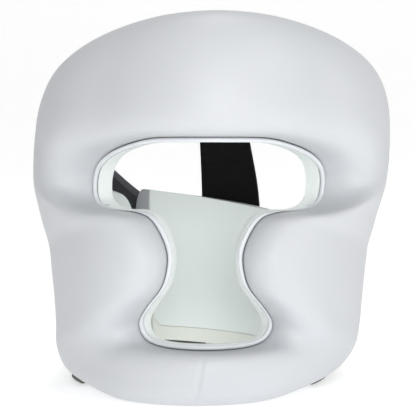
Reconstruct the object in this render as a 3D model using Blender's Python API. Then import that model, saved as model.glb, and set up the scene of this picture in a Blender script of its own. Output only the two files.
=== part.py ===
"""Padded full-face head guard that stands on its lower edge.

Metres, +Z up, the face towards -Y, the wearer's left towards +X. Every piece is drawn on one head
form: a point has a turn from straight ahead, a height above the floor and a distance out from the
lining side. The last step puts the middle of the guard's footprint at the origin.
"""

import math

import bmesh
import bpy
from mathutils import Matrix, Vector

# Driving dimensions of the head form
SHELL_HEIGHT = 0.2575
HEAD_HALF_WIDTH = 0.079
HEAD_FRONT = 0.096
HEAD_BACK = 0.106
CROWN_START = 0.150  # height above which the hollow draws in towards the crown
CROWN_DRAW = 0.13  # share of its width that it loses at the rim
JAW_START = 0.160  # height below which it draws in towards the neck
JAW_DRAW = 0.15
SIDE_LEAN = 0.055  # the soft shell leans to the wearer's left
BACK_LEAN = 0.06
LEAN_HEIGHT = 0.120  # height above which it leans
CHIN_SHIFT = 0.008  # its lower edge is pushed this far to the wearer's right
CHIN_SHIFT_HEIGHT = 0.050  # height at which that push starts

# Driving dimensions of the face opening
BROW_HEIGHT = 0.172
CHIN_BAR_HEIGHT = 0.039
EYE_HALF_WIDTH = 0.077
NOSE_HALF_WIDTH = 0.021
MOUTH_HALF_WIDTH = 0.042

# Driving dimensions of the padding
FOREHEAD_PAD = 0.034
TEMPLE_PAD = 0.0475
CHEEK_PAD = 0.039
CHIN_PAD = 0.033
BACK_PAD = 0.018  # ear panels and rear panel
OPENING_SEAM = 0.30  # share of the padding at which the skin ends on the opening side
RIM_SEAM = 0.45  # and on the rim side
PAD_SQUARENESS = 3.0
LINING = 0.0015
LINING_HEM = 0.003  # the lining stops this far short of the rim
PIPING_RADIUS = 0.0016
GAP = 0.0003  # between pieces that touch
JAW_LIFT = 0.010  # the shell's lower edge rises this far at the jaw corners

# Driving dimensions of the ear panels, turns in degrees
EAR_LINE = 86.0  # turn of the shell's rear edge
EAR_REACH_LEFT = 118.0  # turn of the panel's rear edge at the wearer's left
EAR_REACH_RIGHT = 134.0
EAR_LIFT = 0.008
EAR_TOP = 0.150
EAR_REAR_TOP_LEFT = 0.115
EAR_REAR_TOP_RIGHT = 0.124
EAR_HOLE_HALF_TURN = 6.5
EAR_HOLE_HALF_HEIGHT = 0.020
EAR_HOLE_TURN = 101.0
EAR_HOLE_HEIGHT = 0.098
EAR_SQUARENESS = 5.0

# Driving dimensions of the rear panel
REAR_END = 217.0  # turn of its free end, counted round by the wearer's left
REAR_TOP_JOINED = 0.104
REAR_TOP_FREE = 0.127
REAR_LOW_JOINED = 0.006
REAR_LOW_FREE = 0.015
REAR_CORNER = 0.014  # rounding of the free end's lower corner
BAND_HEIGHT = 0.010

# Driving dimensions of the straps and the closure
CROWN_STRAP_WIDTH = 0.042
CROWN_STRAP_THICKNESS = 0.002
CROWN_STRAP_BOW = 0.0045  # its edges lie this far inside its middle
CROWN_CREST = 0.2560
CROWN_STRAP_LOW = 0.086
CROWN_STRAP_HOLD = 0.030  # length sewn inside the brow pad
CROWN_STRAP_RELEASE = 0.0075  # it leaves the pad this far below the lining's hem
CROWN_DRIFT_START = 0.82  # share of the way over the head at which it starts to move aside
CROWN_DRIFT_END = 1.02
CROWN_SHIFT_TOP = 0.000  # the strap's middle lies this far to the wearer's left at the crest
CROWN_SHIFT_LOW = 0.013  # and this far at its lower end
FLAP_THICKNESS = 0.003
FLAP_HEIGHT = 0.060
FLAP_ROOT = 112.0
FLAP_END = 172.0
FLAP_ROOT_TOP = 0.166
FLAP_END_TOP = 0.092
HOOK_THICKNESS = 0.0012
HOOK_MARGIN = 0.006
NECK_STRAP_WIDTH = 0.025
NECK_STRAP_THICKNESS = 0.0025
NECK_STRAP_START = 69.0  # turn at which the strap leaves the shell's lower edge
NECK_STRAP_START_WIDTH = 0.0058
NECK_STRAP_SPREAD = 108.0  # turn at which the strap has its whole width
NECK_STRAP_TUCK = 0.0050  # its start lies this far inside the rest
KEEPER_WIDTH = 0.014
KEEPER_WALL = 0.0015
KEEPER_TURN = 176.0

# How finely the shapes are drawn
ROW_STEPS = 2
CROWN_STEPS = 9
INSIDE_STEPS = 5
EAR_SECTIONS = 22
REAR_STATIONS = 18
REAR_STEPS = 6
STRAP_STATIONS = 30
FLAP_STATIONS = 15
CROWN_STATIONS = 18
CROWN_TAIL_STEPS = 3
PIPING_SIDES = 6

# One row for each section of the face shell, from the brow round the wearer's left to the chin bar:
# size that the opening's half-width follows, share of it, share of the opening's height,
# share of the turn of the shell's rear edge, share of the shell's height at the rim, padding
MIXED_BROW = (FOREHEAD_PAD + TEMPLE_PAD) / 2
UPPER_CHEEK = (2 * TEMPLE_PAD + CHEEK_PAD) / 3
LOWER_CHEEK = (TEMPLE_PAD + 2 * CHEEK_PAD) / 3
MIXED_JAW = (CHEEK_PAD + CHIN_PAD) / 2
SHELL_ROWS = (
    (EYE_HALF_WIDTH, 0.00, 1.000, 0.00, 1.000, FOREHEAD_PAD),
    (EYE_HALF_WIDTH, 0.42, 0.997, 0.19, 0.994, FOREHEAD_PAD),
    (EYE_HALF_WIDTH, 0.71, 0.958, 0.40, 0.975, FOREHEAD_PAD),
    (EYE_HALF_WIDTH, 0.90, 0.900, 0.63, 0.938, MIXED_BROW),
    (EYE_HALF_WIDTH, 0.98, 0.840, 0.87, 0.872, TEMPLE_PAD),
    (EYE_HALF_WIDTH, 1.00, 0.780, 1.00, 0.780, TEMPLE_PAD),
    (EYE_HALF_WIDTH, 0.99, 0.715, 1.00, 0.675, TEMPLE_PAD),
    (EYE_HALF_WIDTH, 0.92, 0.668, 1.00, 0.575, TEMPLE_PAD),
    (EYE_HALF_WIDTH, 0.77, 0.655, 1.00, 0.485, UPPER_CHEEK),
    (EYE_HALF_WIDTH, 0.61, 0.660, 1.00, 0.405, LOWER_CHEEK),
    (NOSE_HALF_WIDTH, 1.70, 0.645, 1.00, 0.335, CHEEK_PAD),
    (NOSE_HALF_WIDTH, 1.27, 0.569, 1.00, 0.270, CHEEK_PAD),
    (NOSE_HALF_WIDTH, 1.00, 0.443, 1.00, 0.210, CHEEK_PAD),
    (NOSE_HALF_WIDTH, 1.14, 0.313, 1.00, 0.150, CHEEK_PAD),
    (MOUTH_HALF_WIDTH, 0.85, 0.190, 1.00, 0.090, CHEEK_PAD),
    (MOUTH_HALF_WIDTH, 1.00, 0.100, 0.90, JAW_LIFT / SHELL_HEIGHT, MIXED_JAW),
    (MOUTH_HALF_WIDTH, 0.88, 0.027, 0.60, JAW_LIFT / 2 / SHELL_HEIGHT, CHIN_PAD),
    (MOUTH_HALF_WIDTH, 0.54, 0.004, 0.31, 0.000, CHIN_PAD),
    (MOUTH_HALF_WIDTH, 0.00, 0.000, 0.00, 0.000, CHIN_PAD),
)

# Base colour in linear light and roughness of each material
FINISHES = {
    "white_leather": ((0.72, 0.75, 0.79), 0.42),
    "lining_fabric": ((0.55, 0.62, 0.60), 0.80),
    "cream_band": ((0.82, 0.82, 0.76), 0.70),
    "black_elastic": ((0.006, 0.006, 0.006), 0.85),
    "grey_webbing": ((0.22, 0.24, 0.21), 0.80),
    "hook_fabric": ((0.08, 0.09, 0.09), 0.90),
}


def clear_scene():
    """Remove every object that the file opened with."""
    for old in list(bpy.data.objects):
        bpy.data.objects.remove(old, do_unlink=True)


def finish(name):
    """The material of this name, made on first use."""
    material = bpy.data.materials.get(name)
    if material:
        return material
    material = bpy.data.materials.new(name)
    material.use_nodes = True
    colour, roughness = FINISHES[name]
    shader = material.node_tree.nodes["Principled BSDF"]
    shader.inputs["Base Color"].default_value = (*colour, 1.0)
    shader.inputs["Roughness"].default_value = roughness
    shader.inputs["Metallic"].default_value = 0.0
    return material


def between(start, end, share):
    return start + (end - start) * share


def ease(share):
    """A share held between 0 and 1 that starts and ends gently."""
    held = min(1.0, max(0.0, share))
    return held * held * (3 - 2 * held)


def loft(name, sections, material, closed=False):
    """One solid through sections of equal point counts: a ring, or a strip with capped ends."""
    mesh = bmesh.new()
    rings = [[mesh.verts.new(point) for point in section] for section in sections]
    follow = rings[1:] + rings[:1] if closed else rings[1:]
    for first, second in zip(rings, follow):
        for index, corner in enumerate(first):
            after = (index + 1) % len(first)
            mesh.faces.new((corner, first[after], second[after]))
            mesh.faces.new((corner, second[after], second[index]))
    if not closed:
        mesh.faces.new(rings[0])
        mesh.faces.new(rings[-1])
    bmesh.ops.recalc_face_normals(mesh, faces=mesh.faces)
    data = bpy.data.meshes.new(name)
    mesh.to_mesh(data)
    mesh.free()
    data.materials.append(finish(material))
    data.shade_smooth()
    data.set_sharp_from_angle(angle=math.radians(40))
    piece = bpy.data.objects.new(name, data)
    bpy.context.scene.collection.objects.link(piece)
    return piece


# The head form

def girth(height):
    """Share of the hollow's width and length that it keeps at a height."""
    crown = max(0.0, height - CROWN_START) / (SHELL_HEIGHT - CROWN_START)
    jaw = max(0.0, JAW_START - height) / JAW_START
    return 1 - CROWN_DRAW * crown**2 - JAW_DRAW * jaw**2


def head_point(turn, height, out):
    """The point at a turn in degrees, a height, and a distance out from the lining side."""
    angle = math.radians(turn)
    half = HEAD_HALF_WIDTH * girth(height)
    reach = (HEAD_FRONT if math.cos(angle) > 0 else HEAD_BACK) * girth(height)
    outward = Vector((math.sin(angle) / half, -math.cos(angle) / reach, 0)).normalized()
    lean = SIDE_LEAN * max(0.0, height - LEAN_HEIGHT)
    push = CHIN_SHIFT * max(0.0, 1 - height / CHIN_SHIFT_HEIGHT) ** 2
    middle = Vector((lean - push, BACK_LEAN * height, height))
    return middle + Vector((half * math.sin(angle), -reach * math.cos(angle), 0)) + outward * out


# Padded rings: a section runs from the edge of an opening to the outer rim

def smooth_loop(rows, steps):
    """Rows of numbers round a loop, with steps - 1 more between each two and no overshoot."""
    count = len(rows)

    def slope(index, column):
        before = rows[index][column] - rows[index - 1][column]
        after = rows[(index + 1) % count][column] - rows[index][column]
        return 2 * before * after / (before + after) if before * after > 0 else 0.0

    made = []
    for index, row in enumerate(rows):
        following = (index + 1) % count
        for step in range(steps):
            share = step / steps
            values = []
            for column, value in enumerate(row):
                target = rows[following][column]
                leaving = slope(index, column)
                arriving = slope(following, column)
                bend = leaving * (1 - share) - arriving * share
                values.append(between(value, target, ease(share)) + share * (1 - share) * bend)
            made.append(values)
    return made


def ring_section(edge_turn, edge_height, rim_turn, rim_height, pad):
    """A section with its length over the head form added."""
    radius = (HEAD_HALF_WIDTH + HEAD_FRONT) / 2
    length = math.hypot(math.radians(rim_turn - edge_turn) * radius, rim_height - edge_height)
    return edge_turn, edge_height, rim_turn, rim_height, pad, length


def on_section(section, along, out):
    """The point at a length along a section from the opening and a distance out."""
    edge_turn, edge_height, rim_turn, rim_height, _, length = section
    share = along / length
    turn = between(edge_turn, rim_turn, share)
    return head_point(turn, between(edge_height, rim_height, share), out)


def pillow(share, pad, edge_seam, rim_seam):
    """How far out the skin lies at a share of the way between two seams."""
    seam = pad * between(edge_seam, rim_seam, share)
    crown = max(0.0, 1 - abs(2 * share - 1) ** PAD_SQUARENESS) ** 0.5
    return between(seam, pad, crown)


def inside_lengths(section):
    """Lengths along the inside of a section, from the lining's hem to the opening."""
    length = section[-1]
    for step in range(INSIDE_STEPS):
        yield between(length - LINING_HEM, LINING + GAP, step / INSIDE_STEPS)


def pad_outline(section, piping):
    """The padded body: over the crown to the rim, and back along the inside."""
    *_, pad, length = section
    start = max(2 * piping + 2 * GAP, LINING + GAP)
    points = []
    for step in range(CROWN_STEPS + 1):
        share = (1 - math.cos(math.pi * step / CROWN_STEPS)) / 2
        out = pillow(share, pad, OPENING_SEAM, RIM_SEAM)
        points.append(on_section(section, between(start, length, share), out))
    points.append(on_section(section, length, LINING + GAP))
    for along in inside_lengths(section):
        points.append(on_section(section, along, LINING + GAP))
    points.append(on_section(section, LINING + GAP, LINING + GAP))
    return points


def lining_outline(section, piping):
    """The lining: along the padded body's inside, up the opening's wall, and back."""
    pad = section[-2]
    wall_top = OPENING_SEAM * pad - 2 * piping - GAP
    facing = [on_section(section, along, LINING) for along in inside_lengths(section)]
    facing.append(on_section(section, LINING, LINING))
    facing.append(on_section(section, LINING, wall_top))
    bare = [on_section(section, along, 0.0) for along in inside_lengths(section)]
    bare.append(on_section(section, 0.0, 0.0))
    bare.append(on_section(section, 0.0, wall_top))
    return facing + bare[::-1]


def piping_outline(section):
    """A round cord on the end of the lining's wall."""
    pad = section[-2]
    points = []
    for step in range(PIPING_SIDES):
        angle = math.tau * step / PIPING_SIDES
        along = PIPING_RADIUS * (1 + math.cos(angle))
        out = OPENING_SEAM * pad + PIPING_RADIUS * (math.sin(angle) - 1)
        points.append(on_section(section, along, out))
    return points


def face_sections():
    """Sections all the way round the face opening."""
    half = []
    for size, share, up, turn_share, rim_share, pad in SHELL_ROWS:
        height = between(CHIN_BAR_HEIGHT, BROW_HEIGHT, up)
        half.append((size * share, height, EAR_LINE * turn_share, SHELL_HEIGHT * rim_share, pad))
    mirrored = [(-across, up, -turn, rim, pad) for across, up, turn, rim, pad in half[-2:0:-1]]
    sections = []
    for across, height, rim_turn, rim_height, pad in smooth_loop(half + mirrored, ROW_STEPS):
        reach = HEAD_HALF_WIDTH * girth(height) + OPENING_SEAM * pad
        edge_turn = math.degrees(math.asin(across / reach))
        sections.append(ring_section(edge_turn, height, rim_turn, rim_height, pad))
    return sections


def make_face():
    sections = face_sections()
    pad = [pad_outline(section, PIPING_RADIUS) for section in sections]
    lining = [lining_outline(section, PIPING_RADIUS) for section in sections]
    piping = [piping_outline(section) for section in sections]
    return [
        loft("face_shell", pad, "white_leather", True),
        loft("face_lining", lining, "lining_fabric", True),
        loft("face_piping", piping, "white_leather", True),
    ]


def squared(value):
    """A cosine or sine pushed outwards, so that a circle becomes a rounded square."""
    return math.copysign(abs(value) ** (2 / EAR_SQUARENESS), value)


def ear_sections(side, reach, rear_top):
    """Sections round the ear opening: side is 1 at the wearer's left and -1 at the right."""
    front = EAR_LINE + math.degrees(GAP / HEAD_HALF_WIDTH)
    sections = []
    for step in range(EAR_SECTIONS):
        angle = math.tau * step / EAR_SECTIONS
        across = (1 + squared(math.cos(angle))) / 2
        up = (1 + squared(math.sin(angle))) / 2
        rim_turn = between(front, reach, across)
        rim_height = between(EAR_LIFT, between(EAR_TOP, rear_top, across**0.5), up)
        hole_turn = EAR_HOLE_TURN + EAR_HOLE_HALF_TURN * math.cos(angle)
        hole_height = EAR_HOLE_HEIGHT + EAR_HOLE_HALF_HEIGHT * math.sin(angle)
        edge = (side * hole_turn, hole_height)
        rim = (side * rim_turn, rim_height)
        sections.append(ring_section(*edge, *rim, BACK_PAD))
    return sections


def make_ear(name, side, reach, rear_top):
    sections = ear_sections(side, reach, rear_top)
    pad = [pad_outline(section, 0.0) for section in sections]
    lining = [lining_outline(section, 0.0) for section in sections]
    return [
        loft("ear_panel_" + name, pad, "white_leather", True),
        loft("ear_lining_" + name, lining, "lining_fabric", True),
    ]


# The rear panel: upright sections at turns from the left ear panel round to the free end

def rear_stations():
    """Turn, lower edge and upper edge of each upright section of the rear panel."""
    start = EAR_REACH_LEFT + math.degrees(GAP / HEAD_HALF_WIDTH)
    corner = math.degrees(REAR_CORNER / HEAD_BACK)
    stations = []
    for step in range(REAR_STATIONS + 1):
        share = math.sin(math.pi / 2 * step / REAR_STATIONS)
        turn = between(start, REAR_END, share)
        low = between(REAR_LOW_JOINED, REAR_LOW_FREE, share**2)
        into = max(0.0, 1 - (REAR_END - turn) / corner)
        low += REAR_CORNER * (1 - math.sqrt(1 - into * into))
        stations.append((turn, low, between(REAR_TOP_JOINED, REAR_TOP_FREE, share)))
    return stations


def padded_strip(stations):
    """Closed outlines of a pad between two heights: its crowned outside, then its inside."""
    outlines = []
    for turn, low, high in stations:
        points = []
        for step in range(REAR_STEPS + 3):
            share = (1 - math.cos(math.pi * step / (REAR_STEPS + 2))) / 2
            out = pillow(share, BACK_PAD, RIM_SEAM, RIM_SEAM)
            points.append(head_point(turn, between(low, high, share), out))
        for step in range(REAR_STEPS + 1):
            height = between(high, low, step / REAR_STEPS)
            points.append(head_point(turn, height, LINING + GAP))
        outlines.append(points)
    return outlines


def skin_strip(stations, inner, outer, steps):
    """Closed outlines of an even skin between two heights and two distances out."""
    outlines = []
    for turn, low, high in stations:
        up = [between(low, high, step / steps) for step in range(steps + 1)]
        points = [head_point(turn, height, outer) for height in up]
        points += [head_point(turn, height, inner) for height in up[::-1]]
        outlines.append(points)
    return outlines


def make_rear():
    whole = rear_stations()
    panel = [(turn, low + BAND_HEIGHT + GAP, high) for turn, low, high in whole]
    band = [(turn, low, low + BAND_HEIGHT) for turn, low, _ in whole]
    band_out = BACK_PAD * RIM_SEAM
    return [
        loft("rear_panel", padded_strip(panel), "white_leather"),
        loft("rear_lining", skin_strip(panel, 0.0, LINING, REAR_STEPS), "lining_fabric"),
        loft("rear_band", skin_strip(band, 0.0, band_out, 1), "cream_band"),
    ]


# The closure at the wearer's right

def flap_stations(margin):
    """Sections of the flap from its root on the ear panel to its end, inside a margin."""
    edge = math.degrees(margin / HEAD_BACK)
    stations = []
    for step in range(FLAP_STATIONS + 1):
        turn = between(FLAP_ROOT + edge, FLAP_END - edge, step / FLAP_STATIONS)
        top = between(FLAP_ROOT_TOP, FLAP_END_TOP, (turn - FLAP_ROOT) / (FLAP_END - FLAP_ROOT))
        stations.append((-turn, top - FLAP_HEIGHT + margin, top - margin))
    return stations


def make_closure():
    hook_in = BACK_PAD + GAP
    flap_in = hook_in + HOOK_THICKNESS + GAP
    hook = skin_strip(flap_stations(HOOK_MARGIN), hook_in, hook_in + HOOK_THICKNESS, 3)
    flap = skin_strip(flap_stations(0.0), flap_in, flap_in + FLAP_THICKNESS, 3)
    return [
        loft("hook_patch", hook, "hook_fabric"),
        loft("closure_flap", flap, "white_leather"),
    ]


# Straps

def neck_inside():
    """Distance out of the neck strap's inner face, clear of the keeper's inner layer."""
    return BACK_PAD + KEEPER_WALL + 2 * GAP


def neck_stations():
    """Turn, lower edge, upper edge and inner distance of the neck strap, from jaw to jaw."""
    low = KEEPER_WALL + GAP
    stations = []
    for step in range(STRAP_STATIONS + 1):
        turn = between(NECK_STRAP_START, 360 - NECK_STRAP_START, step / STRAP_STATIONS)
        into = min(turn, 360 - turn)
        spread = ease((into - EAR_LINE) / (NECK_STRAP_SPREAD - EAR_LINE))
        tuck = NECK_STRAP_TUCK * max(0.0, EAR_LINE - into) / (EAR_LINE - NECK_STRAP_START)
        high = low + between(NECK_STRAP_START_WIDTH, NECK_STRAP_WIDTH, spread)
        stations.append((turn, low, high, neck_inside() - tuck))
    return stations


def make_neck_strap():
    outlines = []
    for turn, low, high, inner in neck_stations():
        outer = inner + NECK_STRAP_THICKNESS
        corners = ((low, inner), (high, inner), (high, outer), (low, outer))
        outlines.append([head_point(turn, height, out) for height, out in corners])
    return [loft("neck_strap", outlines, "grey_webbing")]


def make_keeper():
    """A flat loop round the neck strap, closed on itself."""
    half_turn = math.degrees(KEEPER_WIDTH / 2 / (HEAD_BACK + neck_inside()))
    low = KEEPER_WALL
    high = low + NECK_STRAP_WIDTH + 2 * GAP
    inner = neck_inside() - GAP
    outer = neck_inside() + NECK_STRAP_THICKNESS + GAP
    corners = (
        (low, inner, -1, -1),
        (high, inner, 1, -1),
        (high, outer, 1, 1),
        (low, outer, -1, 1),
    )
    start = KEEPER_TURN - half_turn
    end = KEEPER_TURN + half_turn
    outlines = []
    for height, out, up, away in corners:
        far_height = height + up * KEEPER_WALL
        far_out = out + away * KEEPER_WALL
        outlines.append([
            head_point(start, height, out),
            head_point(end, height, out),
            head_point(end, far_height, far_out),
            head_point(start, far_height, far_out),
        ])
    return [loft("keeper_tab", outlines, "white_leather", True)]


def crown_line(share, face):
    """One lengthwise line of the crown strap, at a share from -1 to 1 of its half-width.

    Face is 0 on its inner side and 1 on its outer side. The line runs up the brow's inside, over the
    crest and down the outside of the rear panel.
    """
    depth = CROWN_STRAP_THICKNESS * face
    inside = depth - GAP - CROWN_STRAP_THICKNESS
    outside = depth + GAP + BACK_PAD
    edge = share * CROWN_STRAP_WIDTH / 2
    front_turn = math.degrees(math.asin((CROWN_SHIFT_TOP + edge) / HEAD_HALF_WIDTH))
    outer_half = HEAD_HALF_WIDTH + BACK_PAD
    back_turn = 180 - math.degrees(math.asin((CROWN_SHIFT_LOW + edge) / outer_half))
    lining_top = SHELL_HEIGHT - LINING_HEM
    rear_top = (REAR_TOP_JOINED + REAR_TOP_FREE) / 2
    low = head_point(front_turn, lining_top - CROWN_STRAP_HOLD, inside)
    high = head_point(front_turn, lining_top, inside)
    high.z = lining_top - CROWN_STRAP_RELEASE
    back = head_point(back_turn, rear_top, outside)
    crest = Vector((0, (high.y + back.y) / 2, CROWN_CREST - CROWN_STRAP_BOW * share**2 + depth))
    line = [low, low.lerp(high, 0.5), high]
    for step in range(1, CROWN_STATIONS + 1):
        along = step / CROWN_STATIONS
        foot = high if along <= 0.5 else back
        y = crest.y - abs(foot.y - crest.y) * math.cos(math.pi * along)
        z = foot.z + (crest.z - foot.z) * math.sin(math.pi * along)
        drift = ease((along - CROWN_DRIFT_START) / (CROWN_DRIFT_END - CROWN_DRIFT_START))
        line.append(Vector((between(high.x, back.x, drift), y, z)))
    for step in range(1, CROWN_TAIL_STEPS + 1):
        height = between(rear_top, CROWN_STRAP_LOW, step / CROWN_TAIL_STEPS)
        line.append(head_point(back_turn, height, outside))
    return line


def make_crown_strap():
    shares = (-1.0, -0.5, 0.0, 0.5, 1.0)
    lines = [crown_line(share, 1) for share in shares]
    lines += [crown_line(share, 0) for share in shares[::-1]]
    return [loft("crown_strap", list(zip(*lines)), "black_elastic")]


def settle(pieces):
    """Move the guard so that it stands on the floor with the middle of its footprint at the origin."""
    corners = [vertex.co for piece in pieces for vertex in piece.data.vertices]
    low = [min(corner[axis] for corner in corners) for axis in range(3)]
    high = [max(corner[axis] for corner in corners) for axis in range(3)]
    middle = Vector(((low[0] + high[0]) / 2, (low[1] + high[1]) / 2, low[2]))
    for piece in pieces:
        piece.data.transform(Matrix.Translation(-middle))


def main():
    clear_scene()
    pieces = make_face()
    pieces += make_ear("left", 1, EAR_REACH_LEFT, EAR_REAR_TOP_LEFT)
    pieces += make_ear("right", -1, EAR_REACH_RIGHT, EAR_REAR_TOP_RIGHT)
    pieces += make_rear()
    pieces += make_closure()
    pieces += make_neck_strap()
    pieces += make_keeper()
    pieces += make_crown_strap()
    settle(pieces)


main()
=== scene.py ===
# %% [markdown]
# # A padded head guard, dressed piece by piece
# A full-face head guard is a ring of foam between a smooth white skin and a soft lining, with
# padded panels over the ears and the nape and a few straps that hold it all together. The packed
# solids give every place and size. This lesson draws each soft piece again on the same head form,
# finer than a solid may be, and gives it a surface that behaves like the real material.

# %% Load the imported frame
import math

import bpy
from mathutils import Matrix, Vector, noise


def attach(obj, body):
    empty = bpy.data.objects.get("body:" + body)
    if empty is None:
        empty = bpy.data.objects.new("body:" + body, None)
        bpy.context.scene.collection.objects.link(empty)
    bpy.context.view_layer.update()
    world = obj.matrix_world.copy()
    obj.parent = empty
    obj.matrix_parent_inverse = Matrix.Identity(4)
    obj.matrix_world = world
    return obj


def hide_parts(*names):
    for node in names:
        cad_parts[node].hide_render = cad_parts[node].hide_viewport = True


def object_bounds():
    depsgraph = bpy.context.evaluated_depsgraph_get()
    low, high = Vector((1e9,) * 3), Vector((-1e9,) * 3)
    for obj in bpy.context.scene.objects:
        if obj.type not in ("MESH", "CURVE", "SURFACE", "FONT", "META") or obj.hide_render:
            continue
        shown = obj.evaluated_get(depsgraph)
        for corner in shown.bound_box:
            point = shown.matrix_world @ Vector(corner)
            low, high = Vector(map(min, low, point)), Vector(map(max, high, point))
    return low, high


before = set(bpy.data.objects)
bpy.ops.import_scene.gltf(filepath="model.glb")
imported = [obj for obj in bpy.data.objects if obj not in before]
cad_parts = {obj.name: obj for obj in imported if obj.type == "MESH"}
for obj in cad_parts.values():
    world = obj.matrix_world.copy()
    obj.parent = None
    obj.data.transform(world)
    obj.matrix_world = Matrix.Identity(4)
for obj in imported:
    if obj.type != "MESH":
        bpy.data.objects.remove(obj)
cad_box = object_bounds()
rounded_box = [[round(x, 4) for x in corner] for corner in cad_box]
print("solids:", len(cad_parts), "box:", rounded_box)

# %% [markdown]
# ## The camera
# The photograph was taken from about five degrees above the guard and almost straight ahead of it.
# A long lens keeps the near chin and the far nape at nearly the same scale, which is how a product
# photograph looks, so the camera stands well back and its lens is set from the picture's scale.

# %% Camera
CAMERA_TURN = math.radians(1.5)
CAMERA_RISE = math.radians(5.0)
CAMERA_DISTANCE = 1.2
CAMERA_TARGET = Vector((-0.003, 0.0, 0.1204))
METRES_PER_PIXEL = 0.00071
PICTURE_PIXELS = 416
SENSOR_MM = 36.0

camera_data = bpy.data.cameras.new("camera")
camera_data.sensor_width = SENSOR_MM
camera_data.lens = SENSOR_MM * CAMERA_DISTANCE / (PICTURE_PIXELS * METRES_PER_PIXEL)
camera = bpy.data.objects.new("camera", camera_data)
toward = Vector((
    math.sin(CAMERA_TURN) * math.cos(CAMERA_RISE),
    -math.cos(CAMERA_TURN) * math.cos(CAMERA_RISE),
    math.sin(CAMERA_RISE),
))
camera.location = CAMERA_TARGET + toward * CAMERA_DISTANCE
camera.rotation_euler = toward.to_track_quat("Z", "Y").to_euler()
bpy.context.scene.collection.objects.link(camera)
bpy.context.scene.camera = camera
print("lens, mm:", round(camera_data.lens, 1))

# %% [markdown]
# ## Colours and nodes
# A colour picked from a picture is an sRGB value, but a shader works in linear light, so one
# function turns a hex value into what the shader wants. Another adds a node to a material with its
# settings and links in one call, which keeps each material short enough to read.

# %% Helpers for materials
def linear(hex_value):
    """A #RRGGBB colour as red, green, blue and alpha in linear light."""
    values = [int(hex_value[start:start + 2], 16) / 255 for start in (1, 3, 5)]
    values = [v / 12.92 if v <= 0.04045 else ((v + 0.055) / 1.055) ** 2.4 for v in values]
    return (*values, 1.0)


def add_node(tree, kind, settings=None, links=None):
    """A node with its properties and sockets set, and its sockets joined to other nodes."""
    node = tree.nodes.new(kind)
    for name, value in (settings or {}).items():
        if isinstance(name, str) and hasattr(node, name):
            setattr(node, name, value)
        else:
            node.inputs[name].default_value = value
    for name, socket in (links or {}).items():
        tree.links.new(socket, node.inputs[name])
    return node


def new_material(name, settings):
    """A material whose shader has these constant settings, with its tree and its shader."""
    material = bpy.data.materials.new(name)
    material.use_nodes = True
    shader = material.node_tree.nodes["Principled BSDF"]
    for socket, value in settings.items():
        shader.inputs[socket].default_value = value
    return material, material.node_tree, shader


# %% [markdown]
# ## Floor and light
# A white product on white is shot on a light table: the paper under and behind it glows a little,
# so that it stays white and lights the guard from below. A lamp beside the camera reaches through
# the openings to the inside of the nape, which is as bright in the photograph as the outside. A
# wide lamp at the wearer's left leaves the other side a light grey. The paper curves up into a
# backdrop so that no horizon shows.

# %% Floor and backdrop
FLOOR_FRONT = -2.0
FLOOR_BACK = 1.6
BACKDROP_RADIUS = 0.8
BACKDROP_TOP = 3.0
FLOOR_HALF_WIDTH = 4.0
BACKDROP_STEPS = 12

profile = [(FLOOR_FRONT, 0.0), (FLOOR_BACK, 0.0)]
for step in range(1, BACKDROP_STEPS + 1):
    angle = math.pi / 2 * step / BACKDROP_STEPS
    rise = BACKDROP_RADIUS * (1 - math.cos(angle))
    profile.append((FLOOR_BACK + BACKDROP_RADIUS * math.sin(angle), rise))
profile.append((FLOOR_BACK + BACKDROP_RADIUS, BACKDROP_TOP))
corners = [(side * FLOOR_HALF_WIDTH, y, z) for y, z in profile for side in (-1, 1)]
faces = [(i, i + 1, i + 3, i + 2) for i in range(0, 2 * len(profile) - 2, 2)]
floor_mesh = bpy.data.meshes.new("floor")
floor_mesh.from_pydata(corners, [], faces)
floor_mesh.shade_smooth()
floor = bpy.data.objects.new("floor", floor_mesh)
bpy.context.scene.collection.objects.link(floor)
paper, _, _ = new_material("backdrop_paper", {
    "Base Color": linear("#F7F7F7"),
    "Roughness": 0.9,
    "Specular IOR Level": 0.1,
    "Emission Color": linear("#FFFFFF"),
    "Emission Strength": 0.42,
})
floor_mesh.materials.append(paper)

# %% Lamps and surrounding light
LAMPS = (
    # name, place, watts, size in metres
    ("front_lamp", (0.10, -1.45, 0.42), 8.0, 0.5),
    ("key_lamp", (1.10, -1.2, 0.75), 5.5, 1.0),
    ("top_lamp", (0.0, 0.05, 1.5), 5.0, 0.5),
)
for name, place, watts, size in LAMPS:
    lamp_data = bpy.data.lights.new(name, "AREA")
    lamp_data.energy = watts
    lamp_data.size = size
    lamp = bpy.data.objects.new(name, lamp_data)
    lamp.location = place
    aim = Vector(place) - CAMERA_TARGET
    lamp.rotation_euler = aim.to_track_quat("Z", "Y").to_euler()
    bpy.context.scene.collection.objects.link(lamp)

world = bpy.data.worlds.new("studio")
world.use_nodes = True
world.node_tree.nodes["Background"].inputs["Color"].default_value = linear("#FFFFFF")
world.node_tree.nodes["Background"].inputs["Strength"].default_value = 0.34
bpy.context.scene.world = world
bpy.context.scene.view_settings.view_transform = "Standard"
print("lamps:", len(LAMPS))

# %% [markdown]
# ## The head form
# Every piece hugs the same head, so each point is named by three plain numbers: a turn from
# straight ahead, a height above the floor, and a distance out from the lining. One function turns
# them into a place. The form draws in towards the crown and the neck, and leans a little the way
# the soft guard slumps when it stands by itself.

# %% Head form
SHELL_HEIGHT = 0.2575
HEAD_HALF_WIDTH = 0.079
HEAD_FRONT = 0.096
HEAD_BACK = 0.106
CROWN_START = 0.150
CROWN_DRAW = 0.13
JAW_START = 0.160
JAW_DRAW = 0.15
SIDE_LEAN = 0.055
BACK_LEAN = 0.06
LEAN_HEIGHT = 0.120
CHIN_SHIFT = 0.008
CHIN_SHIFT_HEIGHT = 0.050
FOOTPRINT_SHIFT = Vector((-0.00221, -0.00758, 0.0))


def between(start, end, share):
    return start + (end - start) * share


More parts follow.
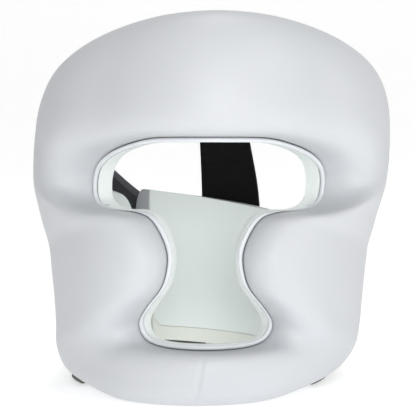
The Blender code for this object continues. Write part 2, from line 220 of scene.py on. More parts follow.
def ease(share):
    """A share held between 0 and 1 that starts and ends gently."""
    held = min(1.0, max(0.0, share))
    return held * held * (3 - 2 * held)


def girth(height):
    """Share of the hollow's width and length that it keeps at a height."""
    crown = max(0.0, height - CROWN_START) / (SHELL_HEIGHT - CROWN_START)
    jaw = max(0.0, JAW_START - height) / JAW_START
    return 1 - CROWN_DRAW * crown**2 - JAW_DRAW * jaw**2


def head_point(turn, height, out):
    """The place at a turn in degrees, a height, and a distance out from the lining."""
    angle = math.radians(turn)
    half = HEAD_HALF_WIDTH * girth(height)
    reach = (HEAD_FRONT if math.cos(angle) > 0 else HEAD_BACK) * girth(height)
    outward = Vector((math.sin(angle) / half, -math.cos(angle) / reach, 0)).normalized()
    lean = SIDE_LEAN * max(0.0, height - LEAN_HEIGHT)
    push = CHIN_SHIFT * max(0.0, 1 - height / CHIN_SHIFT_HEIGHT) ** 2
    middle = Vector((lean - push, BACK_LEAN * height, height)) + FOOTPRINT_SHIFT
    return middle + Vector((half * math.sin(angle), -reach * math.cos(angle), 0)) + outward * out


print("brow:", [round(x, 4) for x in head_point(0, 0.2, 0)])

# %% [markdown]
# ## Rings round the openings
# The face pad is a ring. Each of its sections starts at the edge of the face opening and ends at
# the outer rim, so a table of a few sections describes the whole shape. The table is worked out
# much finer by curves that never overshoot, and then averaged a little, because real foam has no
# corners where one row of the table hands over to the next.

# %% Table of the face pad's sections
BROW_HEIGHT = 0.172
CHIN_BAR_HEIGHT = 0.039
EYE = 0.077  # half-width of the eye slot
NOSE = 0.021
MOUTH = 0.042
FOREHEAD_PAD = 0.034
TEMPLE_PAD = 0.0475
CHEEK_PAD = 0.039
CHIN_PAD = 0.033
MIXED_BROW = (FOREHEAD_PAD + TEMPLE_PAD) / 2
UPPER_CHEEK = (2 * TEMPLE_PAD + CHEEK_PAD) / 3
LOWER_CHEEK = (TEMPLE_PAD + 2 * CHEEK_PAD) / 3
MIXED_JAW = (CHEEK_PAD + CHIN_PAD) / 2
JAW_LIFT = 0.010
EAR_LINE = 86.0

# Opening's half-width, share of its height, share of the rear edge's turn, rim's height, padding
SHELL_ROWS = (
    (EYE * 0.00, 1.000, 0.00, SHELL_HEIGHT * 1.000, FOREHEAD_PAD),
    (EYE * 0.42, 0.997, 0.19, SHELL_HEIGHT * 0.994, FOREHEAD_PAD),
    (EYE * 0.71, 0.958, 0.40, SHELL_HEIGHT * 0.975, FOREHEAD_PAD),
    (EYE * 0.90, 0.900, 0.63, SHELL_HEIGHT * 0.938, MIXED_BROW),
    (EYE * 0.98, 0.840, 0.87, SHELL_HEIGHT * 0.872, TEMPLE_PAD),
    (EYE * 1.00, 0.780, 1.00, SHELL_HEIGHT * 0.780, TEMPLE_PAD),
    (EYE * 0.99, 0.715, 1.00, SHELL_HEIGHT * 0.675, TEMPLE_PAD),
    (EYE * 0.92, 0.668, 1.00, SHELL_HEIGHT * 0.575, TEMPLE_PAD),
    (EYE * 0.77, 0.655, 1.00, SHELL_HEIGHT * 0.485, UPPER_CHEEK),
    (EYE * 0.61, 0.660, 1.00, SHELL_HEIGHT * 0.405, LOWER_CHEEK),
    (NOSE * 1.70, 0.645, 1.00, SHELL_HEIGHT * 0.335, CHEEK_PAD),
    (NOSE * 1.27, 0.569, 1.00, SHELL_HEIGHT * 0.270, CHEEK_PAD),
    (NOSE * 1.00, 0.443, 1.00, SHELL_HEIGHT * 0.210, CHEEK_PAD),
    (NOSE * 1.14, 0.313, 1.00, SHELL_HEIGHT * 0.150, CHEEK_PAD),
    (MOUTH * 0.85, 0.190, 1.00, SHELL_HEIGHT * 0.090, CHEEK_PAD),
    (MOUTH * 1.00, 0.100, 0.90, JAW_LIFT, MIXED_JAW),
    (MOUTH * 0.88, 0.027, 0.60, JAW_LIFT / 2, CHIN_PAD),
    (MOUTH * 0.54, 0.004, 0.31, 0.000, CHIN_PAD),
    (MOUTH * 0.00, 0.000, 0.00, 0.000, CHIN_PAD),
)

# %% Finer sections
TABLE_STEPS = 24  # fine sections for each row of the table
AVERAGING_PASSES = 40
OPENING_SEAM = 0.30  # share of the padding at which the skin ends on the opening side
RIM_SEAM = 0.45


def smooth_loop(rows, steps):
    """Rows of numbers round a loop, with steps - 1 more between each two and no overshoot."""
    count = len(rows)

    def slope(index, column):
        before = rows[index][column] - rows[index - 1][column]
        after = rows[(index + 1) % count][column] - rows[index][column]
        return 2 * before * after / (before + after) if before * after > 0 else 0.0

    made = []
    for index, row in enumerate(rows):
        following = (index + 1) % count
        for step in range(steps):
            share = step / steps
            values = []
            for column, value in enumerate(row):
                leaving = slope(index, column)
                arriving = slope(following, column)
                bend = leaving * (1 - share) - arriving * share
                target = rows[following][column]
                values.append(between(value, target, ease(share)) + share * (1 - share) * bend)
            made.append(values)
    return made


def averaged(rows, passes):
    """The rows of a loop after each has taken on a little of its neighbours, several times."""
    for _ in range(passes):
        count = len(rows)
        rows = [
            [(a + 2 * b + c) / 4 for a, b, c in zip(rows[i - 1], rows[i], rows[(i + 1) % count])]
            for i in range(count)
        ]
    return rows


def ring_section(edge_turn, edge_height, rim_turn, rim_height, pad):
    """A section with its length over the head form added."""
    radius = (HEAD_HALF_WIDTH + HEAD_FRONT) / 2
    length = math.hypot(math.radians(rim_turn - edge_turn) * radius, rim_height - edge_height)
    return edge_turn, edge_height, rim_turn, rim_height, pad, length


half_rows = [(a, between(CHIN_BAR_HEIGHT, BROW_HEIGHT, b), EAR_LINE * c, d, e)
             for a, b, c, d, e in SHELL_ROWS]
mirrored_rows = [(-a, b, -c, d, e) for a, b, c, d, e in half_rows[-2:0:-1]]
face_table = averaged(smooth_loop(half_rows + mirrored_rows, TABLE_STEPS), AVERAGING_PASSES)
print("fine sections:", len(face_table))


def face_section(position):
    """The face pad's section at a position counted in rows of the table, whole or not."""
    place = position * TABLE_STEPS
    index = int(math.floor(place))
    low = face_table[index % len(face_table)]
    high = face_table[(index + 1) % len(face_table)]
    across, height, rim_turn, rim_height, pad = [
        between(a, b, place - index) for a, b in zip(low, high)
    ]
    reach = HEAD_HALF_WIDTH * girth(height) + OPENING_SEAM * pad
    edge_turn = math.degrees(math.asin(across / reach))
    return ring_section(edge_turn, height, rim_turn, rim_height, pad)


def on_section(section, along, out):
    """The place at a length along a section from the opening and a distance out."""
    edge_turn, edge_height, rim_turn, rim_height, _, length = section
    share = along / length
    turn = between(edge_turn, rim_turn, share)
    return head_point(turn, between(edge_height, rim_height, share), out)


# %% [markdown]
# ## Meshes from rows of points
# Most pieces here are rows of points with a face between each four. The rows may close into a
# ring, and each row may close into a tube. The mesh also gets a UV map measured in metres, so
# that ribs and weaves drawn later run along the strap at their true size.

# %% Mesh helpers
SHARP_ANGLE = math.radians(50)


def running_lengths(points, closed):
    """Distance of each point from the first along the line, with the way back to it if closed."""
    line = list(points) + ([points[0]] if closed else [])
    lengths = [0.0]
    for before, after in zip(line, line[1:]):
        lengths.append(lengths[-1] + (after - before).length)
    return lengths


def turn_outward(mesh):
    """Turn the faces so that a closed mesh's normals point out of it."""
    volume = 0.0
    for face in mesh.polygons:
        first, *rest = [mesh.vertices[index].co for index in face.vertices]
        for second, third in zip(rest, rest[1:]):
            volume += first.dot(second.cross(third))
    if volume < 0:
        mesh.flip_normals()


def quilt(name, rows, material, ring=False, tube=False, levels=0):
    """A piece through rows of places, with UVs in metres and smooth shading."""
    count = len(rows)
    across = len(rows[0])
    along_lengths = running_lengths([row[across // 4] for row in rows], ring)
    across_lengths = running_lengths(rows[count // 3], tube)
    faces = []
    uvs = []
    for i in range(count if ring else count - 1):
        for j in range(across if tube else across - 1):
            corners = ((i, j), (i, j + 1), (i + 1, j + 1), (i + 1, j))
            faces.append([(a % count) * across + b % across for a, b in corners])
            uvs += [(along_lengths[a], across_lengths[b]) for a, b in corners]
    if tube and not ring:
        for i in (0, count - 1):
            faces.append([i * across + j for j in range(across)])
            uvs += [(along_lengths[i], across_lengths[j]) for j in range(across)]
    mesh = bpy.data.meshes.new(name)
    mesh.from_pydata([place for row in rows for place in row], [], faces)
    layer = mesh.uv_layers.new(name="metres")
    for loop, uv in zip(layer.data, uvs):
        loop.uv = uv
    mesh.validate()
    mesh.materials.append(material)
    piece = bpy.data.objects.new(name, mesh)
    bpy.context.scene.collection.objects.link(piece)
    turn_outward(mesh)
    mesh.shade_smooth()
    mesh.set_sharp_from_angle(angle=SHARP_ANGLE)
    if levels:
        finer = piece.modifiers.new("finer", "SUBSURF")
        finer.levels = levels
        finer.render_levels = levels
    return piece


def dress(piece, slot, *nodes):
    """The piece moves with the guard and stands for these solids, which are hidden; the slot is
    not used.
    """
    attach(piece, "root")
    if nodes:
        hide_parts(*nodes)
    return piece


# %% [markdown]
# ## White skin
# The outside is polyurethane leather: a woven backing with a thin plastic film that is pressed by
# a heated roller to look like hide. To the eye that is an even white with a soft shine that
# breaks up a little where the pressed grain catches the light. The real grain is half a
# millimetre across, finer than a pixel here, so it is drawn about three times as coarse.

# %% Material: embossed polyurethane leather
MILLIMETRE = 0.001
GRAIN = 1.6 * MILLIMETRE


def embossed_leather(name, colour, shade, roughness, grain_depth):
    """Polyurethane leather in a colour that drifts towards a slightly darker shade."""
    material, tree, shader = new_material(name, {
        "IOR": 1.5,
        "Roughness": roughness,
        "Coat Weight": 0.08,
        "Coat Roughness": 0.35,
    })
    place = add_node(tree, "ShaderNodeTexCoord")
    cells = add_node(
        tree, "ShaderNodeTexVoronoi",
        {"feature": "SMOOTH_F1", "Scale": 1 / GRAIN, "Smoothness": 0.6},
        {"Vector": place.outputs["Object"]},
    )
    pores = add_node(
        tree, "ShaderNodeTexNoise",
        {"Scale": 0.5 / GRAIN, "Detail": 4.0},
        {"Vector": place.outputs["Object"]},
    )
    grain = add_node(
        tree, "ShaderNodeMath", {"operation": "MULTIPLY"},
        {0: cells.outputs["Distance"], 1: pores.outputs["Fac"]},
    )
    bump = add_node(
        tree, "ShaderNodeBump", {"Strength": 0.35, "Distance": grain_depth},
        {"Height": grain.outputs["Value"]},
    )
    drift = add_node(
        tree, "ShaderNodeTexNoise", {"Scale": 14.0, "Detail": 3.0},
        {"Vector": place.outputs["Object"]},
    )
    tint = add_node(
        tree, "ShaderNodeMix",
        {"data_type": "RGBA", 6: linear(colour), 7: linear(shade)},
        {"Factor": drift.outputs["Fac"]},
    )
    polish = add_node(
        tree, "ShaderNodeMapRange",
        {"To Min": roughness - 0.05, "To Max": roughness + 0.07},
        {"Value": drift.outputs["Fac"]},
    )
    tree.links.new(tint.outputs[2], shader.inputs["Base Color"])
    tree.links.new(polish.outputs["Result"], shader.inputs["Roughness"])
    tree.links.new(bump.outputs["Normal"], shader.inputs["Normal"])
    return material


white_leather = embossed_leather("white_pu_leather", "#CDCFD2", "#C5C8CC", 0.48, 0.15 * MILLIMETRE)
# Painted highlight: the piping and the keeper loop use the shell's leather painted lighter,
# standing in for the light that a rolled edge catches.
highlight_painted_leather = embossed_leather("highlight_painted_leather", "#E2E5E8", "#DADDE1", 0.40, 0.08 * MILLIMETRE)
print("grain, mm:", GRAIN / MILLIMETRE)

# %% [markdown]
# ## Lining and tapes
# The inside is a warp-knitted polyester lining with a faint grey-green cast. Knit scatters light
# with hardly any shine and a little fuzz at its edges, so it is rough and has some sheen. Its
# loops are 0.4 mm apart, too fine to show, so they are drawn at 1.2 mm.

# %% Material: knitted polyester lining
KNIT = 1.2 * MILLIMETRE
WAVE_PERIOD = math.tau / 20  # one band of the wave texture at a scale of 1, in metres


def woven_cloth(name, colour, shade, roughness, spacing, depth, sheen, ribs_only=False):
    """Cloth whose threads run along the UV map, which is measured in metres."""
    material, tree, shader = new_material(name, {
        "IOR": 1.45,
        "Roughness": roughness,
        "Specular IOR Level": 0.25,
        "Sheen Weight": sheen,
        "Sheen Roughness": 0.5,
    })
    place = add_node(tree, "ShaderNodeTexCoord")
    warp = add_node(
        tree, "ShaderNodeTexWave",
        {"bands_direction": "X", "Scale": WAVE_PERIOD / spacing, "Distortion": 0.4},
        {"Vector": place.outputs["UV"]},
    )
    weft = add_node(
        tree, "ShaderNodeTexWave",
        {"bands_direction": "Y", "Scale": WAVE_PERIOD / spacing, "Distortion": 0.4},
        {"Vector": place.outputs["UV"]},
    )
    threads = warp.outputs["Fac"]
    if not ribs_only:
        both = add_node(
            tree, "ShaderNodeMath", {"operation": "MULTIPLY"},
            {0: warp.outputs["Fac"], 1: weft.outputs["Fac"]},
        )
        threads = both.outputs["Value"]
    bump = add_node(
        tree, "ShaderNodeBump", {"Strength": 0.5, "Distance": depth}, {"Height": threads}
    )
    # Painted shade: the colour turns to the darker shade in the hollows between the threads, where
    # the bump is lowest.
    tint = add_node(
        tree, "ShaderNodeMix",
        {"data_type": "RGBA", 6: linear(shade), 7: linear(colour)},
        {"Factor": threads},
    )
    tree.links.new(tint.outputs[2], shader.inputs["Base Color"])
    tree.links.new(bump.outputs["Normal"], shader.inputs["Normal"])
    return material


knit_lining = woven_cloth("knitted_polyester_lining", "#F0F5F3", "#E9EFED", 0.75, KNIT,
                          0.10 * MILLIMETRE, 0.15)
cream_tape = woven_cloth("cream_cotton_tape", "#F3F4EE", "#E6E8E0", 0.8, KNIT,
                         0.12 * MILLIMETRE, 0.1)
black_elastic = woven_cloth("black_rubber_and_polyester_elastic", "#0D0D0E", "#050506", 0.8,
                            1.5 * MILLIMETRE, 0.3 * MILLIMETRE, 0.05, True)
grey_webbing = woven_cloth("grey_polypropylene_webbing", "#7A7C73", "#62655D", 0.75,
                           1.4 * MILLIMETRE, 0.3 * MILLIMETRE, 0.1)
# Painted shade: the binding tape is grey, and its colour is darkened further, to how dark it looks
# in the shade inside the guard.
grey_tape_with_painted_shade = woven_cloth("grey_nylon_binding_tape_with_painted_shade", "#66666B", "#4C4D52", 0.7,
                        1.2 * MILLIMETRE, 0.2 * MILLIMETRE, 0.1)
hook_tape = woven_cloth("nylon_hook_tape", "#4A4C4E", "#2C2E30", 0.85,
                        1.8 * MILLIMETRE, 0.6 * MILLIMETRE, 0.1)

# %% [markdown]
# ## The face pad's skin
# Foam that is wrapped in a sheet and sewn along two seams swells between them. The section is a
# flat-topped pillow: it leaves each seam straight up and then levels off. Cloth simulation could
# blow it up, but the photograph shows a firm, even pad, so a curve gives the same form with no
# guesswork. Fine unevenness comes after, as slow dents of the foam and short puckers at the seam.

# %% Face skin
PAD_SQUARENESS = 3.0
LINING = 0.0015
LINING_HEM = 0.003
GAP = 0.0003
PIPING_RADIUS = 0.0016
SKIN_ROW_STEPS = 6
CROWN_STEPS = 36
INSIDE_STEPS = 8
CHIN_ROW = len(SHELL_ROWS) - 1
ROLL_SHARE = 0.5  # share of the skin's points that its roll over the piping takes up
OVERHANG = 0.0042
SEAM_WIDTH = 0.0008
SEAM_DEPTH = 0.0009
FACE_DENTS = 0.0009
SLOW_DENT = 0.055  # size of the slow dents, then of the small ones and of the puckers
SMALL_DENT = 0.016
PUCKER = 0.006
PUCKER_REACH = 0.010
SLOW_SEED, SMALL_SEED, PUCKER_SEED = 1.7, 5.2, 9.4
RIM_LIP_ALONG = 0.0002
RIM_LIP_OUT = 0.0022
RIM_FOLD_ALONG = 0.0012
ROW_LENGTH = 0.022  # metres between two rows of the table at the chin
RUN_REACH = 0.2  # rows to each side from which the opening's direction is taken
NEAR_SEAM = (0.015, 0.035, 0.06, 0.10)


def pillow(share, pad, edge_seam, rim_seam):
    """How far out the skin lies at a share of the way between two seams."""
    seam = pad * between(edge_seam, rim_seam, share)
    crown = max(0.0, 1 - abs(2 * share - 1) ** PAD_SQUARENESS) ** 0.5
    return between(seam, pad, crown)


def unevenness(place, depth, size, seed):
    """A smooth random height at a place, the same each time for the same seed."""
    return depth * noise.noise(place / size + Vector((seed, 2.3 * seed, 4.1 * seed)))


def skin_row(section, start, dents, groove, overhang=0.0):
    """Places round one section of a pad: over its crown, then back along its inside."""
    *_, pad, length = section
    row = []
    for step in range(CROWN_STEPS + 1):
        share = (1 - math.cos(math.pi * step / CROWN_STEPS)) / 2
        roll = math.sin(math.pi * min(1.0, step / CROWN_STEPS / ROLL_SHARE)) ** 2
        along = between(start, length, share) - overhang * roll
        swell = math.sin(math.pi * share)
        base = on_section(section, along, pad)
        soft = unevenness(base, dents, SLOW_DENT, SLOW_SEED)
        soft += unevenness(base, dents / 3, SMALL_DENT, SMALL_SEED)
        fade = math.exp(-share * length / PUCKER_REACH)
        pucker = fade * unevenness(base, dents, PUCKER, PUCKER_SEED)
        out = pillow(share, pad, OPENING_SEAM, RIM_SEAM)
        out += swell * (soft - groove) + swell * pucker
        row.append(on_section(section, along, out))
    row.append(on_section(section, length - RIM_LIP_ALONG, LINING + RIM_LIP_OUT))
    row.append(on_section(section, length - RIM_FOLD_ALONG, LINING + GAP))
    for step in range(INSIDE_STEPS):
        along = between(length - LINING_HEM, LINING + GAP, step / INSIDE_STEPS)
        row.append(on_section(section, along, LINING + GAP))
    row.append(on_section(section, start, LINING + GAP))
    return row


def skin_positions(rows, seams):
    """Positions round the ring, closer together beside each seam."""
    steps = [index / SKIN_ROW_STEPS for index in range(rows * SKIN_ROW_STEPS)]
    near = [seam + side * offset for seam in seams for side in (-1, 1)
            for offset in NEAR_SEAM]
    return sorted(steps + near)


row_count = len(half_rows) + len(mirrored_rows)
skin_rows = []
for position in skin_positions(row_count, [CHIN_ROW]):
    section = face_section(position)
    seam_offset = abs(position - CHIN_ROW) * ROW_LENGTH
    groove = SEAM_DEPTH * math.exp(-(seam_offset / SEAM_WIDTH) ** 2)
    before = face_section(position - RUN_REACH)
    after = face_section(position + RUN_REACH)
    run = (on_section(after, 0.0, 0.0) - on_section(before, 0.0, 0.0)).normalized()
    overhang = OVERHANG * (1 - run.z**2) ** 2
    start = 2 * PIPING_RADIUS + 2 * GAP
    skin_rows.append(skin_row(section, start, FACE_DENTS, groove, overhang))
face_skin = quilt("face_skin", skin_rows, white_leather, ring=True, tube=True, levels=1)
dress(face_skin, "shell", "face_shell")
print("face skin faces:", len(face_skin.data.polygons))

# %% Face lining and piping
PIPING_SIDES = 10


def lining_row(section, below_seam):
    """Places round one section of a lining, which ends this far below the skin's seam."""
    *_, pad, length = section
    wall_top = OPENING_SEAM * pad - below_seam
    inside = [between(length - LINING_HEM, 2 * LINING, step / INSIDE_STEPS)
              for step in range(INSIDE_STEPS + 1)]
    facing = [on_section(section, along, LINING) for along in inside]
    facing += [on_section(section, LINING, LINING), on_section(section, LINING, wall_top)]
    bare = [on_section(section, along, 0.0) for along in inside]
    bare += [on_section(section, LINING / 4, LINING / 4), on_section(section, 0.0, LINING)]
    bare += [on_section(section, 0.0, wall_top)]
    return facing + bare[::-1]


lining_rows = []
piping_rows = []
for index in range(row_count * SKIN_ROW_STEPS):
    section = face_section(index / SKIN_ROW_STEPS)
    pad = section[4]
    lining_rows.append(lining_row(section, 2 * PIPING_RADIUS + GAP))
    cord = []
    for step in range(PIPING_SIDES):
        angle = math.tau * step / PIPING_SIDES
        along = PIPING_RADIUS * (1 + math.cos(angle))
        out = OPENING_SEAM * pad + PIPING_RADIUS * (math.sin(angle) - 1)
        cord.append(on_section(section, along, out))
    piping_rows.append(cord)
face_lining = quilt("face_lining_cloth", lining_rows, knit_lining, ring=True, tube=True)
dress(face_lining, "lining", "face_lining")
piping = quilt("opening_piping", piping_rows, highlight_painted_leather, ring=True, tube=True)
dress(piping, "shell", "face_piping")

# %% [markdown]
# ## Ear panels
# A thinner padded panel covers each ear, with an oval opening to hear through. The photograph
# hides them, so they follow the usual make: the same white skin and lining, a rounded outline, and
# a rolled edge round the opening.

# %% Ear panels
BACK_PAD = 0.018
EAR_REACH_LEFT = 118.0
EAR_REACH_RIGHT = 134.0
EAR_LIFT = 0.008
EAR_TOP = 0.150
EAR_REAR_TOP_LEFT = 0.115
EAR_REAR_TOP_RIGHT = 0.124
EAR_HOLE_HALF_TURN = 6.5
EAR_HOLE_HALF_HEIGHT = 0.020
EAR_HOLE_TURN = 101.0
EAR_HOLE_HEIGHT = 0.098
EAR_SQUARENESS = 5.0
EAR_SECTIONS = 120
EAR_DENTS = 0.0006


def squared(value):
    """A cosine or sine pushed outwards, so that a circle becomes a rounded square."""
    return math.copysign(abs(value) ** (2 / EAR_SQUARENESS), value)


def ear_section(side, reach, rear_top, angle):
    """A section from the ear opening's edge to the panel's rim, at an angle round the opening."""
    front = EAR_LINE + math.degrees(GAP / HEAD_HALF_WIDTH)
    across = (1 + squared(math.cos(angle))) / 2
    up = (1 + squared(math.sin(angle))) / 2
    rim_turn = between(front, reach, across)
    rim_height = between(EAR_LIFT, between(EAR_TOP, rear_top, across**0.5), up)
    hole_turn = EAR_HOLE_TURN + EAR_HOLE_HALF_TURN * math.cos(angle)
    hole_height = EAR_HOLE_HEIGHT + EAR_HOLE_HALF_HEIGHT * math.sin(angle)
    return ring_section(side * hole_turn, hole_height, side * rim_turn, rim_height, BACK_PAD)


for name, side, reach, rear_top in (
    ("left", 1, EAR_REACH_LEFT, EAR_REAR_TOP_LEFT),
    ("right", -1, EAR_REACH_RIGHT, EAR_REAR_TOP_RIGHT),
):
    sections = [ear_section(side, reach, rear_top, math.tau * step / EAR_SECTIONS)
                for step in range(EAR_SECTIONS)]
    rows = [skin_row(section, LINING + GAP, EAR_DENTS, 0.0) for section in sections]
    skin = quilt("ear_skin_" + name, rows, white_leather, ring=True, tube=True)
    dress(skin, "shell", "ear_panel_" + name)
    rows = [lining_row(section, GAP) for section in sections]
    cloth = quilt("ear_lining_cloth_" + name, rows, knit_lining, ring=True, tube=True)
    dress(cloth, "lining", "ear_lining_" + name)

# %% [markdown]
# ## Rear panel
# The nape is covered by one more padded panel, sewn to the wearer's left ear panel and free at
# its other end, where it closes. Inside it is lined, with a cream tape along its lower edge that
# is joined by a curved seam.

# %% Rear panel, its lining and its lower tape
REAR_END = 217.0
REAR_TOP_JOINED = 0.104
REAR_TOP_FREE = 0.127
REAR_LOW_JOINED = 0.006
REAR_LOW_FREE = 0.015
REAR_CORNER = 0.014
BAND_HEIGHT = 0.010
REAR_STATIONS = 72
REAR_STEPS = 20
BAND_STEPS = 4
REAR_DENTS = 0.0008
REAR_DENT_SIZE = 0.03
REAR_SEED = 3.1


def rear_stations():
    """Turn, lower edge and upper edge of each upright section of the rear panel."""
    start = EAR_REACH_LEFT + math.degrees(GAP / HEAD_HALF_WIDTH)
    corner = math.degrees(REAR_CORNER / HEAD_BACK)
    stations = []
    for step in range(REAR_STATIONS + 1):
        share = math.sin(math.pi / 2 * step / REAR_STATIONS)
        turn = between(start, REAR_END, share)
        low = between(REAR_LOW_JOINED, REAR_LOW_FREE, share**2)
        into = max(0.0, 1 - (REAR_END - turn) / corner)
        low += REAR_CORNER * (1 - math.sqrt(1 - into * into))
        stations.append((turn, low, between(REAR_TOP_JOINED, REAR_TOP_FREE, share)))
    return stations


def strip_row(turn, low, high, inner, outer, steps):
    """A closed row of places round an even strip between two heights."""
    heights = [between(low, high, step / steps) for step in range(steps + 1)]
    row = [head_point(turn, height, outer) for height in heights]
    return row + [head_point(turn, height, inner) for height in heights[::-1]]


panel_rows = []
nape_lining_rows = []
band_rows = []
for turn, low, high in rear_stations():
    foot = low + BAND_HEIGHT + GAP
    row = []
    for step in range(REAR_STEPS + 1):
        share = (1 - math.cos(math.pi * step / REAR_STEPS)) / 2
        out = pillow(share, BACK_PAD, RIM_SEAM, RIM_SEAM)
        base = head_point(turn, between(foot, high, share), BACK_PAD)
        dent = unevenness(base, REAR_DENTS, REAR_DENT_SIZE, REAR_SEED)
        out += math.sin(math.pi * share) * dent
        row.append(head_point(turn, between(foot, high, share), out))
    for step in range(REAR_STEPS + 1):
        row.append(head_point(turn, between(high, foot, step / REAR_STEPS), LINING + GAP))
    panel_rows.append(row)
    nape_lining_rows.append(strip_row(turn, foot, high, 0.0, LINING, REAR_STEPS))
    band_out = BACK_PAD * RIM_SEAM
    band_rows.append(strip_row(turn, low, low + BAND_HEIGHT, 0.0, band_out, BAND_STEPS))
rear_skin = quilt("rear_skin", panel_rows, white_leather, tube=True)
dress(rear_skin, "shell", "rear_panel")
rear_cloth = quilt("rear_lining_cloth", nape_lining_rows, knit_lining, tube=True)
dress(rear_cloth, "lining", "rear_lining")
rear_tape = quilt("rear_lower_tape", band_rows, cream_tape, tube=True)
dress(rear_tape, "band", "rear_band")

# %% [markdown]
# ## Closure
# A flap from the wearer's right ear panel wraps over the free end of the rear panel and holds by
# hook tape. Its upper edge is bound with a grey tape, which is the dark line that shows in the
# eye slot. That line is partly the tape's own grey and partly shade, and the tape's colour holds
# both: it is painted as dark as the shaded line.

# %% Closure flap, hook patch and binding
FLAP_THICKNESS = 0.003
FLAP_HEIGHT = 0.060
FLAP_ROOT = 112.0
FLAP_END = 172.0
FLAP_ROOT_TOP = 0.166
FLAP_END_TOP = 0.092
HOOK_THICKNESS = 0.0012
HOOK_MARGIN = 0.006
FLAP_STATIONS = 48
FLAP_STEPS = 8


def flap_stations(margin):
    """Sections of the flap from its root on the ear panel to its end, inside a margin."""
    edge = math.degrees(margin / HEAD_BACK)
    for step in range(FLAP_STATIONS + 1):
        turn = between(FLAP_ROOT + edge, FLAP_END - edge, step / FLAP_STATIONS)
        top = between(FLAP_ROOT_TOP, FLAP_END_TOP, (turn - FLAP_ROOT) / (FLAP_END - FLAP_ROOT))
        yield -turn, top - FLAP_HEIGHT + margin, top - margin


hook_in = BACK_PAD + GAP
flap_in = hook_in + HOOK_THICKNESS + GAP
rows = [strip_row(*station, hook_in, hook_in + HOOK_THICKNESS, FLAP_STEPS)
        for station in flap_stations(HOOK_MARGIN)]
hook = quilt("hook_tape_patch", rows, hook_tape, tube=True)
dress(hook, "hook", "hook_patch")
rows = [strip_row(*station, flap_in, flap_in + FLAP_THICKNESS, FLAP_STEPS)
        for station in flap_stations(0.0)]
flap = quilt("closure_flap_skin", rows, white_leather, tube=True)
dress(flap, "shell", "closure_flap")

BINDING_HEIGHT = 0.0065
BINDING_WALL = 0.0008
rows = []
for turn, low, high in flap_stations(0.0):
    corners = (
        (high - BINDING_HEIGHT, flap_in - BINDING_WALL),
        (high, flap_in - BINDING_WALL),
        (high + BINDING_WALL, flap_in),
        (high + BINDING_WALL, flap_in + FLAP_THICKNESS),
        (high, flap_in + FLAP_THICKNESS + BINDING_WALL),
        (high - BINDING_HEIGHT, flap_in + FLAP_THICKNESS + BINDING_WALL),
    )
    rows.append([head_point(turn, height, out) for height, out in corners])
binding = quilt("flap_binding_tape", rows, grey_tape_with_painted_shade, tube=True)
dress(binding, "hook")

# %% [markdown]
# ## Straps
# A wide black elastic runs over the crown from inside the brow to the outside of the rear panel.
# A grey webbing strap goes round the nape at the bottom, through a small white loop that is sewn
# to the panel.

# %% Neck strap and its keeper
NECK_STRAP_WIDTH = 0.025
NECK_STRAP_THICKNESS = 0.0025
NECK_STRAP_START = 69.0
NECK_STRAP_START_WIDTH = 0.0058
NECK_STRAP_SPREAD = 108.0
NECK_STRAP_TUCK = 0.0050
KEEPER_WIDTH = 0.014
KEEPER_WALL = 0.0015
KEEPER_TURN = 176.0
STRAP_STATIONS = 120
STRAP_STEPS = 6
neck_inside = BACK_PAD + KEEPER_WALL + 2 * GAP

rows = []
for step in range(STRAP_STATIONS + 1):
    turn = between(NECK_STRAP_START, 360 - NECK_STRAP_START, step / STRAP_STATIONS)
    into = min(turn, 360 - turn)
    spread = ease((into - EAR_LINE) / (NECK_STRAP_SPREAD - EAR_LINE))
    tuck = NECK_STRAP_TUCK * max(0.0, EAR_LINE - into) / (EAR_LINE - NECK_STRAP_START)
    low = KEEPER_WALL + GAP
    high = low + between(NECK_STRAP_START_WIDTH, NECK_STRAP_WIDTH, spread)
    inner = neck_inside - tuck
    outer = inner + NECK_STRAP_THICKNESS
    rows.append(strip_row(turn, low, high, inner, outer, STRAP_STEPS))
neck_strap = quilt("neck_strap_webbing", rows, grey_webbing, tube=True)
dress(neck_strap, "webbing", "neck_strap")

half_turn = math.degrees(KEEPER_WIDTH / 2 / (HEAD_BACK + neck_inside))
low = KEEPER_WALL
high = low + NECK_STRAP_WIDTH + 2 * GAP
inner = neck_inside - GAP
outer = neck_inside + NECK_STRAP_THICKNESS + GAP
rows = []
for height, out, up, away in (
    (low, inner, -1, -1),
    (high, inner, 1, -1),
    (high, outer, 1, 1),
    (low, outer, -1, 1),
):
    far_height = height + up * KEEPER_WALL
    far_out = out + away * KEEPER_WALL
    rows.append([
        head_point(KEEPER_TURN - half_turn, height, out),
        head_point(KEEPER_TURN + half_turn, height, out),
        head_point(KEEPER_TURN + half_turn, far_height, far_out),
        head_point(KEEPER_TURN - half_turn, far_height, far_out),
    ])
keeper = quilt("keeper_loop", rows, highlight_painted_leather, ring=True, tube=True)
dress(keeper, "shell", "keeper_tab")

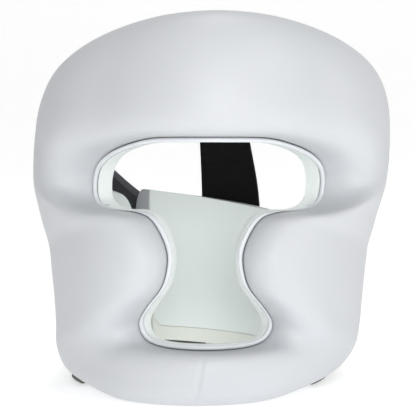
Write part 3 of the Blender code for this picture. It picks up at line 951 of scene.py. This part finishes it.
# %% Crown strap
CROWN_STRAP_WIDTH = 0.042
CROWN_STRAP_THICKNESS = 0.002
CROWN_STRAP_BOW = 0.0045
CROWN_CREST = 0.2560
CROWN_STRAP_LOW = 0.086
CROWN_STRAP_HOLD = 0.030
CROWN_STRAP_RELEASE = 0.0075
CROWN_DRIFT_START = 0.82
CROWN_DRIFT_END = 1.02
CROWN_SHIFT_LOW = 0.013
CROWN_STATIONS = 60
CROWN_TAIL_STEPS = 12
CROWN_LINES = 12


def crown_line(share, face):
    """One lengthwise line of the crown strap, at a share from -1 to 1 of its half-width."""
    depth = CROWN_STRAP_THICKNESS * face
    inside = depth - GAP - CROWN_STRAP_THICKNESS
    outside = depth + GAP + BACK_PAD
    edge = share * CROWN_STRAP_WIDTH / 2
    front_turn = math.degrees(math.asin(edge / HEAD_HALF_WIDTH))
    outer_half = HEAD_HALF_WIDTH + BACK_PAD
    back_turn = 180 - math.degrees(math.asin((CROWN_SHIFT_LOW + edge) / outer_half))
    lining_top = SHELL_HEIGHT - LINING_HEM
    rear_top = (REAR_TOP_JOINED + REAR_TOP_FREE) / 2
    low = head_point(front_turn, lining_top - CROWN_STRAP_HOLD, inside)
    high = head_point(front_turn, lining_top, inside)
    high.z = lining_top - CROWN_STRAP_RELEASE
    back = head_point(back_turn, rear_top, outside)
    crest_y = (high.y + back.y) / 2
    crest_z = CROWN_CREST - CROWN_STRAP_BOW * share**2 + depth
    line = [low, low.lerp(high, 0.5), high]
    for step in range(1, CROWN_STATIONS + 1):
        along = step / CROWN_STATIONS
        foot = high if along <= 0.5 else back
        y = crest_y - abs(foot.y - crest_y) * math.cos(math.pi * along)
        z = foot.z + (crest_z - foot.z) * math.sin(math.pi * along)
        drift = ease((along - CROWN_DRIFT_START) / (CROWN_DRIFT_END - CROWN_DRIFT_START))
        line.append(Vector((between(high.x, back.x, drift), y, z)))
    for step in range(1, CROWN_TAIL_STEPS + 1):
        height = between(rear_top, CROWN_STRAP_LOW, step / CROWN_TAIL_STEPS)
        line.append(head_point(back_turn, height, outside))
    return line


shares = [2 * step / CROWN_LINES - 1 for step in range(CROWN_LINES + 1)]
lines = [crown_line(share, 1) for share in shares]
lines += [crown_line(share, 0) for share in shares[::-1]]
crown_strap = quilt("crown_elastic", [list(row) for row in zip(*lines)], black_elastic, tube=True)
dress(crown_strap, "elastic", "crown_strap")
